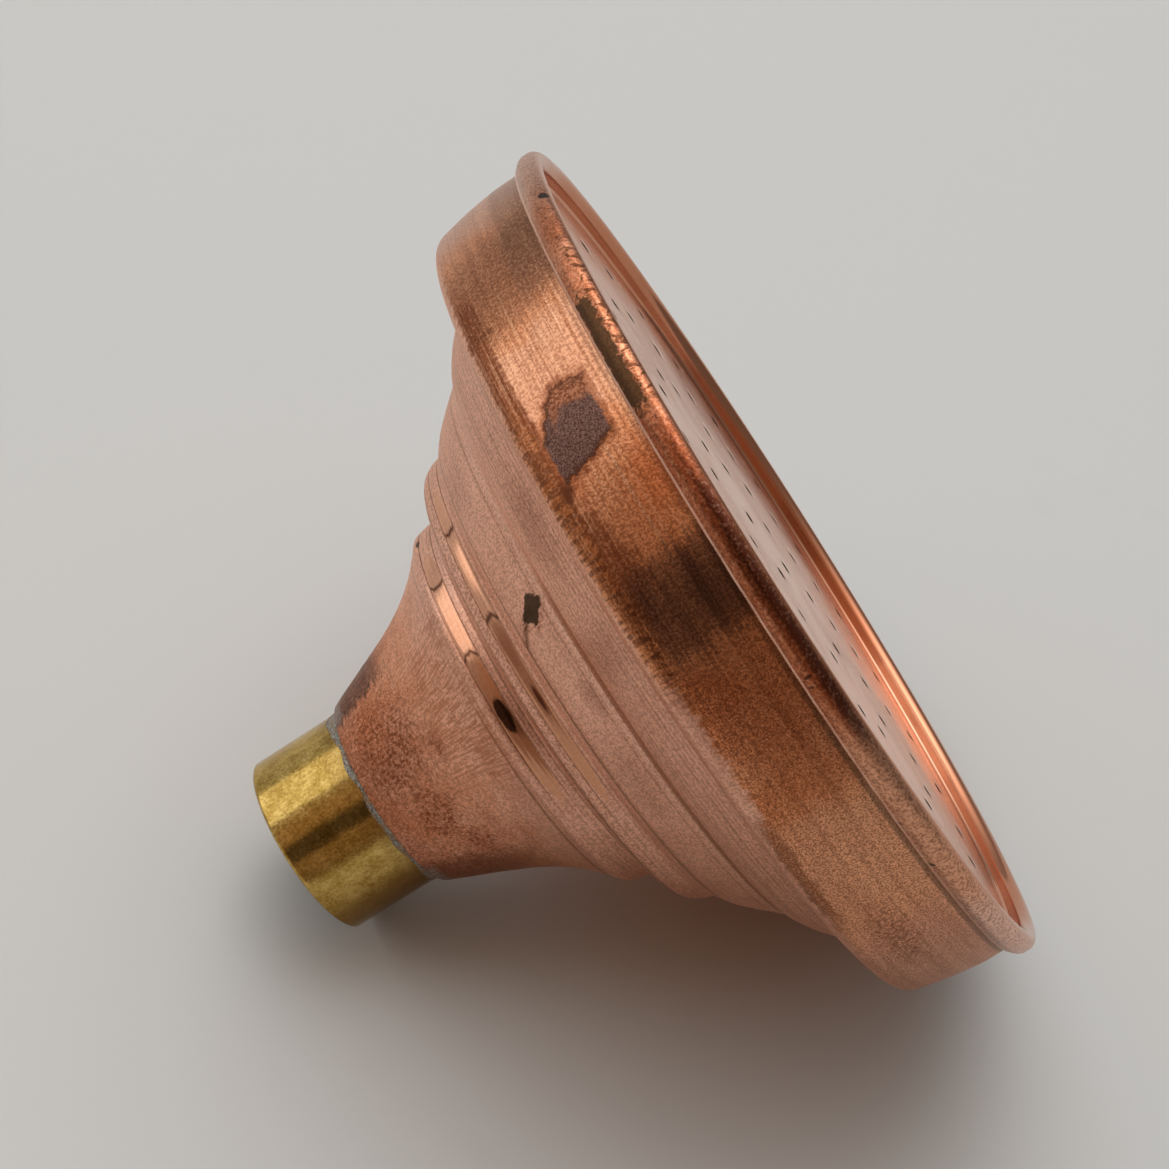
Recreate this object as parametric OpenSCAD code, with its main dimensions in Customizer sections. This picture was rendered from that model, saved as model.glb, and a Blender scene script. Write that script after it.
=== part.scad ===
// Copper watering rose: a spun copper funnel closed by a perforated copper face,
// with a brass socket soldered into its neck.
// Millimetres. +Z runs along the axis from the face to the socket.
// z = 0 is the plane that the rolled rim rests on.

/* [Rolled rim and face] */
// Outside diameter over the rolled rim
rim_d = 120; // [118:0.5:124]
// Radius of the roll, outside the sheet
roll_r = 1.44; // [1.38:0.02:1.6]
// Straight length of the roll's outer side
roll_flat = 0.46; // [0.4:0.02:0.6]
// Angle that the rolled edge turns back towards the drum
roll_close = 45; // [42:1:46]
// Length of the rolled edge after that turn
roll_tail = 1; // [0.9:0.02:1.04]
// Depth of the face below the crest of the roll
face_depth = 2.7; // [2.6:0.1:3.4]
// Bend radius between the face and its upstand, on the visible side
face_bend = 0.5; // [0.3:0.1:0.8]
// Sheet thickness of the perforated face
face_t = 0.6; // [0.5:0.05:0.65]

/* [Perforations] */
// Diameter of each spray hole
spray_d = 1.8; // [1:0.1:2.4]
// Spacing from ring to ring
ring_pitch = 10.86; // [10:0.1:11.3]
// Number of rings of holes
ring_count = 5; // [1:1:5]
// Holes in the innermost ring
first_ring_holes = 3; // [3:1:5]
// Holes that each further ring adds
added_holes = 6; // [4:1:8]

/* [Spun body] */
// Sheet thickness of the spun body
body_t = 0.7; // [0.5:0.05:0.75]
// Height where the drum becomes a straight cylinder
drum_z = 4.74; // [4:0.1:6]
// Radius lost by the drum between the rim and the shoulder
drum_taper = 1.26; // [0.8:0.05:1.8]
// Height of the drum at the shoulder
shoulder_z = 15.6; // [14:0.1:17]
// Height of the crease between shoulder and back
back_z = 18.5; // [17.8:0.1:19.2]
// Radius of that crease
back_r = 48.9; // [47.5:0.1:50]
// Height of the crease between back and cushion
cushion_z = 24.8; // [24:0.1:25.6]
// Radius of that crease
cushion_r = 41.1; // [40:0.1:42]
// Height of the groove above the cushion
groove_z = 31.9; // [31.4:0.1:32.4]
// Radius of that groove
groove_r = 33.95; // [33.6:0.05:34.6]
// Height of the crest of the large bead
large_bead_z = 33.95; // [33.6:0.05:34.4]
// Radius of the crest of the large bead
large_bead_r = 33.2; // [32.8:0.1:33.4]
// Height of the groove between the two beads
mid_groove_z = 36.4; // [36:0.1:36.8]
// Radius of that groove
mid_groove_r = 27.4; // [27:0.1:27.8]
// Height of the crest of the small bead
small_bead_z = 40.2; // [39.8:0.1:40.6]
// Radius of the crest of the small bead
small_bead_r = 26.7; // [26.3:0.1:26.9]
// Height of the foot of the trumpet-shaped neck
trumpet_z = 42; // [41.6:0.1:42.6]
// Radius of the foot of the neck
trumpet_r = 25.1; // [24.6:0.1:25.4]
// Height of the top edge of the neck
neck_z = 62; // [60:0.5:64]
// Radius of the top edge of the neck, outside
neck_r = 13.72; // [13.6:0.02:14.2]

/* [Brass socket] */
// Outside diameter of the tube
socket_d = 25.5; // [25:0.1:25.7]
// Bore, a clearance fit over a 22 mm spout
bore_d = 22.4; // [21.5:0.1:23.5]
// Height of the open end
socket_top = 75.8; // [70:0.2:85]
// Length of tube inside the neck
socket_in = 5; // [4:0.5:8]
// Chamfer on the tube's edges
edge_break = 0.3; // [0.1:0.05:0.4]

/* [Solder] */
// Height of the outer fillet above the neck's edge
fillet_up = 1.4; // [0.8:0.1:2]
// Height of the solder inside the neck, in steps of the neck's curve
solder_steps = 1; // [1:1:2]
// Drop of the solder's lower surface at the tube
solder_sag = 0.3; // [0.1:0.1:0.6]

/* [Hidden] */
// A circle of 180 sides is drawn here and stands for a true curve.
$fn = 180;
// Reach of each curve's handles, as a share of the distance between its ends.
handle = 0.38;
// Steps that a curve is drawn with, for each kind of stretch.
long_steps = 14;
bend_steps = 10;
short_steps = 5;
flat_steps = 2;

roll_mid_r = rim_d / 2 - roll_r;
upstand_in = roll_mid_r - roll_r;
upstand_out = upstand_in + face_t;
drum_r = upstand_out + body_t;

// The body's lip is flanged outwards, and the rolled edge of the face grips the flange.
lip_bend = 0.25;
lip_r = rim_d / 2 - face_t - 0.15;
lip_z = roll_r + roll_flat + 0.1;

slack = 1;

// Points are [radius, height]. An angle is measured from the axis, and opens outwards
// as the path runs from the socket to the rim.
function heading(angle) = [sin(angle), -cos(angle)];

// One smooth stretch between two points, leaving at one angle and arriving at another.
// Its last point belongs to the next stretch.
function stretch(a, b, leave, arrive, steps) =
    let (reach = handle * norm(b - a))
    let (p = a + reach * heading(leave))
    let (q = b - reach * heading(arrive))
    [for (i = [0 : steps - 1])
        let (t = i / steps)
        let (s = 1 - t)
        s * s * s * a + 3 * s * s * t * p + 3 * s * t * t * q + t * t * t * b];

// Points along an arc about a centre, both ends included.
function arc(centre, r, from, to, steps) =
    [for (i = [0 : steps])
        let (angle = from + (to - from) * i / steps)
        centre + r * [cos(angle), sin(angle)]];

function unit(v) = v / norm(v);
function left_of(v) = [-v[1], v[0]];

// The path moved sideways by t, with mitred corners.
function beside(path, t) =
    let (last = len(path) - 1)
    [for (i = [0 : last])
        let (before = unit(path[max(i, 1)] - path[max(i, 1) - 1]))
        let (after = unit(path[min(i, last - 1) + 1] - path[min(i, last - 1)]))
        let (m = left_of(before))
        let (n = left_of(after))
        path[i] + t * (m + n) / (1 + m * n)];

function reversed(path) = [for (i = [len(path) - 1 : -1 : 0]) path[i]];

// A sheet of constant thickness whose outer surface follows the path.
function sheet(path, t) = concat(path, reversed(beside(path, -t)));

// Outer surface of the spun body, from the neck's edge to the flanged lip.
body_path = concat(
    stretch([neck_r, neck_z], [trumpet_r, trumpet_z], 24, 49, long_steps),
    stretch([trumpet_r, trumpet_z], [small_bead_r, small_bead_z], 40, 8, short_steps),
    stretch([small_bead_r, small_bead_z], [mid_groove_r, mid_groove_z], 8, 8, flat_steps),
    stretch([mid_groove_r, mid_groove_z], [large_bead_r, large_bead_z], 80, 19, bend_steps),
    stretch([large_bead_r, large_bead_z], [groove_r, groove_z], 19, 14, flat_steps),
    stretch([groove_r, groove_z], [cushion_r, cushion_z], 59, 41, short_steps),
    stretch([cushion_r, cushion_z], [back_r, back_z], 66, 44, short_steps),
    stretch([back_r, back_z], [drum_r - drum_taper, shoulder_z], 78, 11, bend_steps),
    stretch([drum_r - drum_taper, shoulder_z], [drum_r, drum_z], 11, 0, short_steps),
    [[drum_r, drum_z]],
    arc([drum_r + lip_bend, lip_z + lip_bend], lip_bend, 180, 270, short_steps),
    [[lip_r, lip_z]]
);

// Visible surface of the face plate's edge, from the flat face over the roll.
roll_path = concat(
    arc([upstand_in - face_bend, face_depth - face_bend], face_bend, 90, 0, short_steps),
    arc([roll_mid_r, roll_r], roll_r, 180, 360, 2 * bend_steps),
    arc([roll_mid_r, roll_r + roll_flat], roll_r, 0, roll_close, short_steps),
    [[roll_mid_r, roll_r + roll_flat]
        + roll_r * [cos(roll_close), sin(roll_close)]
        + roll_tail * [-sin(roll_close), cos(roll_close)]]
);

module spun_body() {
    color("peru")
    rotate_extrude()
    polygon(sheet(body_path, body_t));
}

module face_plate() {
    color("chocolate")
    difference() {
        rotate_extrude()
        polygon(concat(
            [[0, face_depth]],
            roll_path,
            reversed(beside(roll_path, face_t)),
            [[0, face_depth + face_t]]
        ));
        for (ring = [0 : ring_count - 1])
            spray_ring(ring_pitch * (ring + 0.5), first_ring_holes + added_holes * ring);
    }
}

// One ring of spray holes, drilled straight through the face.
module spray_ring(r, count) {
    for (i = [0 : count - 1])
        rotate(360 * i / count)
        translate([r, 0, face_depth - slack])
        cylinder(d = spray_d, h = face_t + 2 * slack);
}

module brass_socket() {
    foot = neck_z - socket_in;
    outer = socket_d / 2;
    bore = bore_d / 2;
    color("goldenrod")
    rotate_extrude()
    polygon([
        [bore, foot + edge_break],
        [bore + edge_break, foot],
        [outer - edge_break, foot],
        [outer, foot + edge_break],
        [outer, socket_top - edge_break],
        [outer - edge_break, socket_top],
        [bore + edge_break, socket_top],
        [bore, socket_top - edge_break]
    ]);
}

// Soft solder that fills the gap between tube and neck and stands up as a fillet.
module neck_solder() {
    tube = socket_d / 2;
    inside = beside(body_path, -body_t);
    edge = (2 * body_path[0] + inside[0]) / 3;
    run = edge[0] - tube;
    fillet = [for (i = [0 : short_steps])
        let (angle = 90 * i / short_steps)
        [tube + run * (1 - cos(angle)), edge[1] + fillet_up * (1 - sin(angle))]];
    color("silver")
    rotate_extrude()
    polygon(concat(
        fillet,
        [for (i = [0 : solder_steps]) inside[i]],
        [[tube, inside[solder_steps][1] - solder_sag]]
    ));
}

spun_body();
face_plate();
brass_socket();
neck_solder();
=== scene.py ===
"""Looks of the copper watering rose: patina, spinning lines, solder grain and the light it lies in."""

import math

import bpy
import numpy as np
from mathutils import Matrix, Vector, geometry


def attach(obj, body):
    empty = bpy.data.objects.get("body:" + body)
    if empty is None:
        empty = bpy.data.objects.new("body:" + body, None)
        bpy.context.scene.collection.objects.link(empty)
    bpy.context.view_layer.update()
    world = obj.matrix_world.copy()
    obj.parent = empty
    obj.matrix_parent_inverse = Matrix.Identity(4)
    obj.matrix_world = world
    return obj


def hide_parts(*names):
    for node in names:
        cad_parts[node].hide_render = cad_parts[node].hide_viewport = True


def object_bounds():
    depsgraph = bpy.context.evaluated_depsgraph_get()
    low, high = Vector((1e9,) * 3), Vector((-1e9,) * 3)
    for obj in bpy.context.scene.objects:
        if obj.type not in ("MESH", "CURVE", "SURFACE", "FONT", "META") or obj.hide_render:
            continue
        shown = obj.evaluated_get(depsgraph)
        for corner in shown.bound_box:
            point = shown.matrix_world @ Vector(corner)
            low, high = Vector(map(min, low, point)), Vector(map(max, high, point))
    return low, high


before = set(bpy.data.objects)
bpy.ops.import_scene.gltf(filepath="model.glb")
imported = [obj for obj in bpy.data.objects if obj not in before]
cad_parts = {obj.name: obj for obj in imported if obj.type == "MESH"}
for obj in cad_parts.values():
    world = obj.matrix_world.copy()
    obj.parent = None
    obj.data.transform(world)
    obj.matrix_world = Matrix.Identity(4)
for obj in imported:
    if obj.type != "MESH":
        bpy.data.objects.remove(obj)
cad_low, cad_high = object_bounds()

MM = 0.001
SEED = 7

# -------------------- the turned outlines, in millimetres
# Points are [radius, height]. Angles are measured from the axis and open outwards towards the rim.

HANDLE = 0.38                                 # a curve's handles, as a share of its length
RIM_R = max(cad_high.x, cad_high.y) / MM
SOCKET_TOP = cad_high.z / MM
ROLL_R, ROLL_FLAT, ROLL_CLOSE, ROLL_TAIL = 1.44, 0.46, 45.0, 1.0
FACE_T, FACE_DEPTH, FACE_BEND = 0.6, 2.7, 0.5
BODY_T = 0.7
ROLL_MID = RIM_R - ROLL_R
WALL_IN = ROLL_MID - ROLL_R
DRUM_R = WALL_IN + FACE_T + BODY_T
LIP_BEND = 0.25
LIP_R = RIM_R - FACE_T - 0.15
LIP_Z = ROLL_R + ROLL_FLAT + 0.1
NECK_R, NECK_Z = 13.72, 62.0
SOCKET_R, BORE_R, SOCKET_FOOT = 12.75, 11.2, 57.0


def heading(angle):
    """The direction down the outline that leaves the axis by this angle."""
    a = math.radians(angle)
    return np.array([math.sin(a), -math.cos(a)])


def stretch(a, b, leave, arrive, steps=60):
    """Points on a smooth curve from a up to b, without b, that leaves and arrives at these angles."""
    a, b = np.array(a, float), np.array(b, float)
    reach = HANDLE * np.linalg.norm(b - a)
    p, q = a + reach * heading(leave), b - reach * heading(arrive)
    t = (np.arange(steps) / steps)[:, None]
    s = 1 - t
    return s ** 3 * a + 3 * s * s * t * p + 3 * s * t * t * q + t ** 3 * b


def arc(centre, r, start, end, steps=40):
    a = np.radians(np.linspace(start, end, steps + 1))
    return np.array(centre) + r * np.stack([np.cos(a), np.sin(a)], 1)


def lengths(path):
    """Length along the path at each of its points."""
    return np.concatenate([[0], np.cumsum(np.hypot(*np.diff(path, axis=0).T))])


def resample(path, step):
    at = lengths(path)
    new = np.linspace(0, at[-1], max(2, int(round(at[-1] / step)) + 1))
    return np.stack([np.interp(new, at, path[:, 0]), np.interp(new, at, path[:, 1])], 1)


def softened(path, step, width):
    """The path with its creases rounded over about width millimetres, ends kept."""
    path = resample(path, step)
    half = int(3 * width / step) + 1
    k = np.exp(-0.5 * (np.arange(-half, half + 1) * step / width) ** 2)
    k /= k.sum()
    out = path.copy()
    for c in (0, 1):
        ends = 2 * path[0, c] - path[half:0:-1, c], 2 * path[-1, c] - path[-2:-half - 2:-1, c]
        out[:, c] = np.convolve(np.concatenate([ends[0], path[:, c], ends[1]]), k, "valid")
    return out


def left_normals(path):
    d = np.gradient(path, axis=0)
    d /= np.maximum(np.linalg.norm(d, axis=1, keepdims=True), 1e-9)
    return np.stack([-d[:, 1], d[:, 0]], 1)


# -------------------- repeatable small-scale noise

def ring_waves(count, around_max, along_min, along_max, seed):
    """A smooth random height over (along, angle) that closes on itself round the axis, about -1 to 1."""
    r = np.random.default_rng(seed)
    m = r.integers(0, around_max + 1, count)
    k = 2 * math.pi / r.uniform(along_min, along_max, count)
    ph = r.uniform(0, 2 * math.pi, count)
    ph2 = r.uniform(0, 2 * math.pi, count)

    def height(along, angle):
        out = np.zeros(np.broadcast(along, angle).shape)
        for i in range(count):
            out += np.cos(m[i] * angle + ph[i]) * np.cos(k[i] * along + ph2[i])
        return out / math.sqrt(count / 2)
    return height


def line_noise(seed, step, smooth, top=200.0):
    """Random height against length only, for lines that the spinning tool left."""
    r = np.random.default_rng(seed)
    n = int(top / step)
    v = r.normal(size=n)
    half = int(3 * smooth / step) + 1
    k = np.exp(-0.5 * (np.arange(-half, half + 1) * step / smooth) ** 2)
    v = np.convolve(v, k / math.sqrt((k ** 2).sum()), "same")
    at = np.arange(n) * step
    return lambda x: np.interp(x, at, v)


# -------------------- meshes

def link(name, mesh):
    o = bpy.data.objects.new(name, mesh)
    bpy.context.scene.collection.objects.link(o)
    return o


def new_object(name, co, faces):
    """A smooth-shaded object from points in mm; faces is a list, or an array when all are quads."""
    me = bpy.data.meshes.new(name)
    if isinstance(faces, np.ndarray):
        n = len(faces)
        me.vertices.add(len(co))
        me.vertices.foreach_set("co", (co * MM).astype(np.float32).ravel())
        me.loops.add(4 * n)
        me.loops.foreach_set("vertex_index", faces.astype(np.int32).ravel())
        me.polygons.add(n)
        me.polygons.foreach_set("loop_start", np.arange(0, 4 * n, 4, dtype=np.int32))
        me.update(calc_edges=True)
        me.validate()
    else:
        me.from_pydata([tuple(p) for p in co * MM], [], faces)
        me.update()
    me.polygons.foreach_set("use_smooth", np.ones(len(me.polygons), bool))
    return link(name, me)


def set_attribute(o, key, values):
    """One number for each point, which the materials read."""
    held = o.data.attributes.new(key, "FLOAT", "POINT")
    held.data.foreach_set("value", np.asarray(values, np.float32))


def stands_for(piece, node):
    """The piece takes the CAD node's place, on the part's only body."""
    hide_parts(node)
    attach(piece, "root")


def revolve(name, path, segments, offset=None, outer=None, lift=None):
    """A closed outline turned about Z.

    offset(along, angle) moves the first `outer` points of the outline outwards, and lift raises them.
    """
    n = len(path)
    angle = np.arange(segments) * 2 * math.pi / segments
    along = lengths(path)
    r = np.repeat(path[:, :1], segments, 1)
    z = np.repeat(path[:, 1:], segments, 1)
    if offset is not None:
        m = outer or n
        normal = left_normals(path[:m])
        d = offset(along[:m, None], angle[None, :])
        r[:m] += d * normal[:, :1]
        z[:m] += d * normal[:, 1:]
        if lift is not None:
            z[:m] += lift(along[:m, None], angle[None, :])
    co = np.stack([r * np.sin(angle), -r * np.cos(angle), z], -1).reshape(-1, 3)
    i = np.arange(n)[:, None]
    j = np.arange(segments)[None, :]
    i2, j2 = (i + 1) % n, (j + 1) % segments
    quads = np.stack([i * segments + j, i2 * segments + j, i2 * segments + j2, i * segments + j2], -1)
    o = new_object(name, co, quads.reshape(-1, 4))
    set_attribute(o, "along", np.repeat(along, segments))
    return o


# -------------------- spun body

SMALL_BEAD_TOP, SMALL_BEAD_EDGE, SMALL_BEAD_FOOT = [25.1, 42.0], [26.7, 40.2], [27.4, 36.4]
LARGE_BEAD_EDGE, LARGE_BEAD_FOOT = [33.2, 33.95], [33.95, 31.9]
CUSHION_FOOT, BACK_FOOT = [41.1, 24.8], [48.9, 18.5]
DRUM_TOP, DRUM_FOOT = [DRUM_R - 1.26, 15.6], [DRUM_R, 4.74]

outer = np.concatenate([
    stretch([NECK_R, NECK_Z], SMALL_BEAD_TOP, 24, 49, 120),
    stretch(SMALL_BEAD_TOP, SMALL_BEAD_EDGE, 40, 8, 20),
    stretch(SMALL_BEAD_EDGE, SMALL_BEAD_FOOT, 8, 8, 20),
    stretch(SMALL_BEAD_FOOT, LARGE_BEAD_EDGE, 80, 19, 40),
    stretch(LARGE_BEAD_EDGE, LARGE_BEAD_FOOT, 19, 14, 12),
    stretch(LARGE_BEAD_FOOT, CUSHION_FOOT, 59, 41, 50),
    stretch(CUSHION_FOOT, BACK_FOOT, 66, 44, 50),
    stretch(BACK_FOOT, DRUM_TOP, 78, 11, 60),
    stretch(DRUM_TOP, DRUM_FOOT, 11, 0, 60),
    [DRUM_FOOT],
    arc([DRUM_R + LIP_BEND, LIP_Z + LIP_BEND], LIP_BEND, 180, 270, 6),
    [[LIP_R, LIP_Z]],
])
BODY_STEP = 0.16
outer_fine = softened(outer, BODY_STEP, 0.22)
outer_along = lengths(outer_fine)
from_foot = np.abs(outer_fine[:, 1] - DRUM_FOOT[1])
BODY_END = outer_along[np.argmin(from_foot + 0.01 * np.arange(len(outer_fine)))]
inner_path = resample(outer, 0.9)
inner_path = (inner_path - BODY_T * left_normals(inner_path))[::-1]

# Lines that the spinning tool left in the bell: (length from the neck's edge, half width, depth of tone).
TOOL_LINES = [
    (23.3, 0.20, 0.16), (26.05, 0.09, 0.60), (26.85, 0.05, 0.16), (27.25, 0.05, -0.16), (27.55, 0.06, 0.22),
    (28.15, 0.10, 0.55), (28.6, 0.10, 0.12), (29.25, 0.14, 0.45), (34.5, 0.25, 0.30), (36.2, 0.10, 0.60),
    (36.8, 0.05, 0.16), (37.1, 0.06, 0.22), (37.95, 0.11, 0.55), (38.9, 0.10, 0.10), (40.35, 0.17, 0.42),
    (41.1, 0.10, 0.12), (46.9, 0.11, 0.32), (47.9, 0.30, -0.22), (51.9, 0.09, 0.14), (52.6, 0.09, 0.18),
    (53.3, 0.10, 0.22), (54.5, 0.08, 0.16), (55.4, 0.08, 0.24), (56.1, 0.07, 0.24), (56.9, 0.08, 0.28),
    (57.6, 0.08, 0.28), (58.2, 0.10, 0.34), (61.0, 0.2, 0.2), (63.5, 0.2, 0.2),
]
LINE_DEPTH = 0.06
CREASE, CREASE_DEPTH, CREASE_HALF = 49.2, 0.08, 0.5

# The crowns of the beads, rubbed bright: (length at the middle, half width, rise, lean towards the rim).
CROWNS = [(27.08, 0.98, 0.035, 0.0), (37.08, 0.87, 0.03, 0.10)]
tool_fine = line_noise(SEED + 1, 0.05, 0.22)
tool_coarse = line_noise(SEED + 2, 0.1, 1.2)
hand_wobble = ring_waves(14, 3, 30, 90, SEED + 3)
hammer = ring_waves(40, 26, 4, 14, SEED + 4)


def body_relief(along, angle):
    """Spinning lines, the crease, the beads' crowns and slight waves left by hand."""
    fade = np.clip(along / 0.8, 0, 1) * np.clip((BODY_END - along) / 0.8, 0, 1)
    h = 0.006 * tool_fine(along) + 0.010 * tool_coarse(along) + 0 * angle
    for at, half, tone in TOOL_LINES:
        h = h - LINE_DEPTH * tone * np.exp(-((along - at) / half) ** 2)
    h = h - CREASE_DEPTH * np.exp(-((along - CREASE) / CREASE_HALF) ** 2)
    for at, half, rise, lean_in in CROWNS:
        x = np.clip((along - at) / half, -1, 1)
        h = h + rise * (1 - x ** 2) - lean_in * x * (1 - x ** 6)
    h = h + 0.05 * hand_wobble(along, angle) + 0.010 * hammer(along, angle)
    return fade * h


BODY_SIDES = 400
body = revolve("spun_body_looks", np.concatenate([outer_fine, inner_path]), BODY_SIDES,
               body_relief, outer=len(outer_fine))
stands_for(body, "spun_body")

# -------------------- face plate: rolled edge

roll = np.concatenate([
    arc([WALL_IN - FACE_BEND, FACE_DEPTH - FACE_BEND], FACE_BEND, 90, 0, 10),
    arc([ROLL_MID, ROLL_R], ROLL_R, 180, 360, 60),
    arc([ROLL_MID, ROLL_R + ROLL_FLAT], ROLL_R, 0, ROLL_CLOSE, 16),
])
close = math.radians(ROLL_CLOSE)
tail_end = roll[-1] + ROLL_TAIL * np.array([-math.sin(close), math.cos(close)])
roll = np.concatenate([roll, [tail_end]])
roll_fine = resample(roll, 0.13)
roll_in = resample(roll, 0.4)
roll_in = roll_in + FACE_T * left_normals(roll_in)
edge_round = tail_end + 0.5 * FACE_T * np.array([-math.cos(close), -math.sin(close)])
edge_points = [tail_end + np.array([-0.10, 0.03]), edge_round + np.array([-0.02, 0.02])]
roll_wobble = ring_waves(16, 7, 6, 14, SEED + 5)
roll_ragged = ring_waves(60, 70, 6, 20, SEED + 6)
ROLL_LENGTH = lengths(roll_fine)[-1]


def roll_relief(along, angle):
    """The roll wavers a little, and its raw edge is ragged."""
    fade = np.clip(along / 1.5, 0, 1)
    near_edge = np.clip((along - ROLL_LENGTH + 1.2) / 1.2, 0, 1)
    return fade * (0.02 * roll_wobble(along, angle)) + near_edge * 0.035 * roll_ragged(0 * along, angle)


RIM_SIDES = 540
rim = revolve("rolled_edge_looks", np.concatenate([roll_fine, edge_points, roll_in[::-1]]), RIM_SIDES,
              lambda a, g: -roll_relief(a, g), outer=len(roll_fine))

# -------------------- face plate: perforated disc

SPRAY_R, RING_PITCH, RING_COUNT, FIRST_HOLES, ADDED_HOLES = 0.9, 10.86, 5, 3, 6
HOLE_SIDES, HOLE_COLLARS, HOLE_CLEAR = 24, (1.12, 1.35, 1.75, 2.4), 2.9
GRID_STEP, GRID_HALF = 1.6, 56.0
holes = []
for ring in range(RING_COUNT):
    in_ring = FIRST_HOLES + ADDED_HOLES * ring
    for i in range(in_ring):
        a = 2 * math.pi * i / in_ring
        holes.append((RING_PITCH * (ring + 0.5) * math.cos(a), RING_PITCH * (ring + 0.5) * math.sin(a)))
holes = np.array(holes)
DISC_R = roll_fine[0, 0]
rim_angle = np.arange(RIM_SIDES) * 2 * math.pi / RIM_SIDES
points = [np.stack([DISC_R * np.sin(rim_angle), -DISC_R * np.cos(rim_angle)], 1)]
loops = [list(range(RIM_SIDES))]
hole_turn = np.arange(HOLE_SIDES) * 2 * math.pi / HOLE_SIDES
circle = np.stack([np.cos(hole_turn), np.sin(hole_turn)], 1)
for i, h in enumerate(holes):
    points.append(h + SPRAY_R * circle)
    first = RIM_SIDES + i * HOLE_SIDES
    loops.append(list(range(first, first + HOLE_SIDES)))
for h in holes:
    for grow in HOLE_COLLARS:
        points.append(h + SPRAY_R * grow * circle[::2])


def from_holes(xy):
    """Distance to the middle of the nearest hole."""
    return np.linalg.norm(xy[:, None] - holes[None], axis=2).min(1)


lines = np.arange(-GRID_HALF, GRID_HALF + 0.1, GRID_STEP)
grid = np.stack(np.meshgrid(lines, lines), -1).reshape(-1, 2)
grid = grid[np.linalg.norm(grid, axis=1) < DISC_R - 0.9]
points.append(grid[from_holes(grid) > SPRAY_R * HOLE_CLEAR])
points = np.concatenate(points)
cdt = geometry.delaunay_2d_cdt([Vector(p) for p in points], [], loops, 0, 1e-5)
flat = np.array([tuple(v) for v in cdt[0]])
tri = np.array([f for f in cdt[2] if len(f) == 3])
mid = flat[tri].mean(1)
tri = tri[(from_holes(mid) > SPRAY_R * 0.98) & (np.linalg.norm(mid, axis=1) < DISC_R)]

WAVE_COUNT, WAVE_HEIGHT = 14, 0.022
DISH_DEPTH, DISH_WIDTH = 0.07, 0.75
face_waves = np.random.default_rng(SEED + 8)
wave_dir = face_waves.uniform(0, math.pi, WAVE_COUNT)
wave_len = face_waves.uniform(14, 46, WAVE_COUNT)
wave_ph = face_waves.uniform(0, 2 * math.pi, WAVE_COUNT)


def face_height(xy):
    """Depth of the face's visible surface: slightly buckled, and dished where each hole was punched."""
    x, y = xy[:, 0], xy[:, 1]
    radius = np.hypot(x, y)
    h = np.zeros(len(xy))
    for a, w, p in zip(wave_dir, wave_len, wave_ph):
        h += w / 30 * np.cos(2 * math.pi * (x * math.cos(a) + y * math.sin(a)) / w + p)
    h *= WAVE_HEIGHT * np.clip((DISC_R - radius) / 8, 0, 1)
    dish = DISH_DEPTH * np.exp(-((from_holes(xy) - SPRAY_R) / DISH_WIDTH) ** 2)
    return FACE_DEPTH + h + dish * np.clip((DISC_R - radius) / 2, 0, 1)


top_z = face_height(flat)
count = len(flat)
co = np.concatenate([np.column_stack([flat, top_z]), np.column_stack([flat, top_z + FACE_T])])
a, b, c = flat[tri[:, 0]], flat[tri[:, 1]], flat[tri[:, 2]]
turned = (b[:, 0] - a[:, 0]) * (c[:, 1] - a[:, 1]) - (b[:, 1] - a[:, 1]) * (c[:, 0] - a[:, 0]) > 0
down = np.where(turned[:, None], tri[:, ::-1], tri)
faces = [tuple(t) for t in down] + [tuple(t[::-1] + count) for t in down]
edges = [(int(t[k]), int(t[(k + 1) % 3])) for t in down for k in range(3)]
both_ways = set(edges)
faces += [(q, p, p + count, q + count) for p, q in edges if (q, p) not in both_ways]
disc = new_object("face_disc_looks", co, faces)
disc.data.set_sharp_from_angle(angle=math.radians(40))
NO_HOLE_NEAR = 9.0
set_attribute(disc, "along", np.zeros(2 * count))
set_attribute(disc, "hole_near", np.tile(from_holes(flat), 2))
set_attribute(rim, "hole_near", np.full(len(rim.data.vertices), NO_HOLE_NEAR))
stands_for(rim, "face_plate")
stands_for(disc, "face_plate")

# -------------------- brass socket

ROUND, FOOT_ROUND = 0.32, 0.3
tube = np.concatenate([
    arc([BORE_R + ROUND, SOCKET_TOP - ROUND], ROUND, 180, 90, 6),
    arc([SOCKET_R - ROUND, SOCKET_TOP - ROUND], ROUND, 90, 0, 6),
    arc([SOCKET_R - FOOT_ROUND, SOCKET_FOOT + FOOT_ROUND], FOOT_ROUND, 0, -90, 4),
    arc([BORE_R + FOOT_ROUND, SOCKET_FOOT + FOOT_ROUND], FOOT_ROUND, -90, -180, 4),
])
tube = resample(np.concatenate([tube, tube[:1]]), 0.3)[:-1]
tube_waves = ring_waves(20, 9, 4, 30, SEED + 9)
SOCKET_SIDES = 288
socket = revolve("brass_socket_looks", tube, SOCKET_SIDES, lambda a, g: 0.012 * tube_waves(a, g))
stands_for(socket, "brass_socket")

# -------------------- solder

FILLET_UP = 1.4
edge_r = NECK_R - 0.22
fillet = np.array([[SOCKET_R - 0.02 + (edge_r - SOCKET_R + 0.02) * (1 - math.cos(t)),
                    NECK_Z - 0.09 + FILLET_UP * (1 - math.sin(t))]
                   for t in np.linspace(0, math.pi / 2, 24)])
solder_path = np.concatenate([fillet, [[13.09, 61.72], [13.80, 60.04], [12.76, 59.74]]])
solder_creep = ring_waves(26, 16, 20, 60, SEED + 10)
solder_grain = ring_waves(160, 190, 0.3, 1.6, SEED + 11)


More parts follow.
